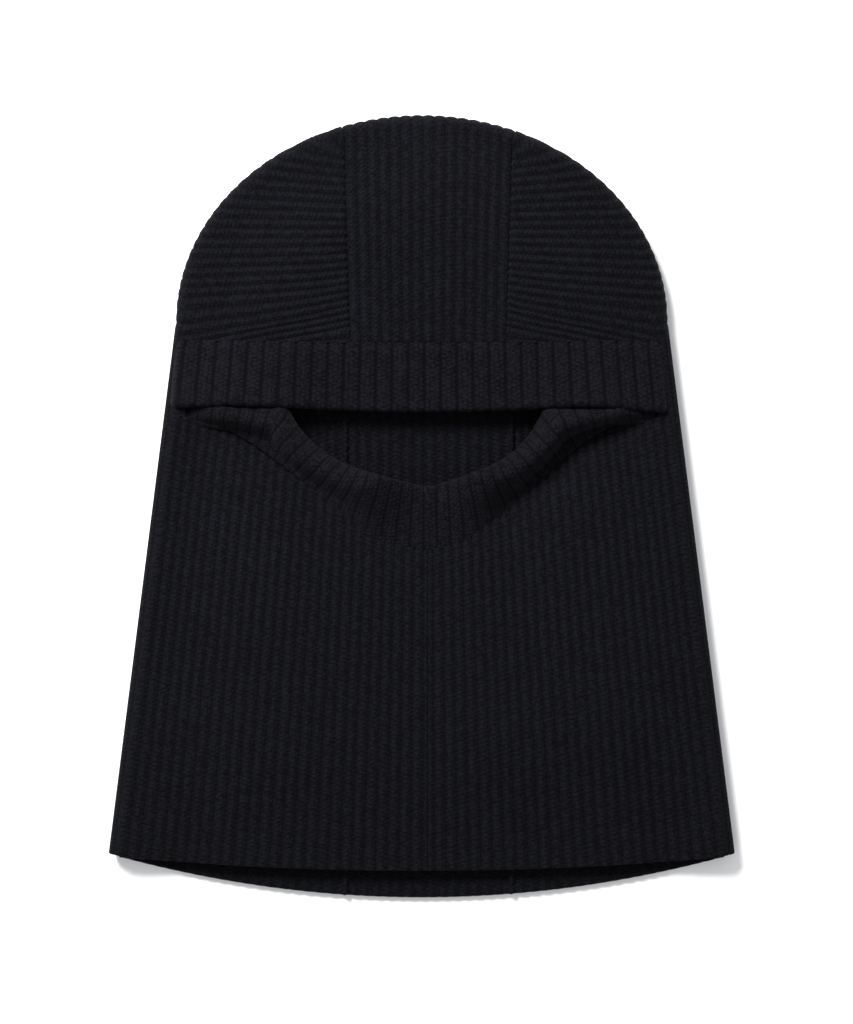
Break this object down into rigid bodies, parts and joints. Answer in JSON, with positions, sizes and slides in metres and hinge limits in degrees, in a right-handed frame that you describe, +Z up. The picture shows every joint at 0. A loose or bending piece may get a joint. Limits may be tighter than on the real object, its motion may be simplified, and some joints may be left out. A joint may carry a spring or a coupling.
{
  "type": "balaclava",
  "caption": "Knitted balaclava hood lying flat, with a ribbed crown strip, two wrap-round side panels and a folded rib band round the face opening.",
  "frame": {"origin": "middle of the laid-out hood's outline, on the surface that it lies on", "axes": "+X to the right as one looks down at the face side, +Y from the hem to the crown, +Z up out of the face side"},
  "size_m": [0.288, 0.36, 0.0164],
  "materials": {
    "body_knit": "soft brushed fisherman's rib, charcoal black, very matt with a faint halo",
    "band_knit": "finer, smoother wide rib folded double, charcoal black, matt",
    "linking_yarn": "chain of the body's own yarn, matt",
    "label_satin": "blank woven satin tape, soft sheen",
    "label_thread": "fine polyester thread, matt"
  },
  "bodies": {
    "root": {"centre_strip": "body_knit", "left_side_panel": "body_knit", "right_side_panel": "body_knit", "face_band": "band_knit", "left_strip_seam": "linking_yarn", "right_strip_seam": "linking_yarn", "centre_front_seam": "linking_yarn", "face_band_seam": "linking_yarn", "chin_seam": "linking_yarn", "care_label": "label_satin", "care_label_thread": "label_thread"}
  },
  "joints": []
}
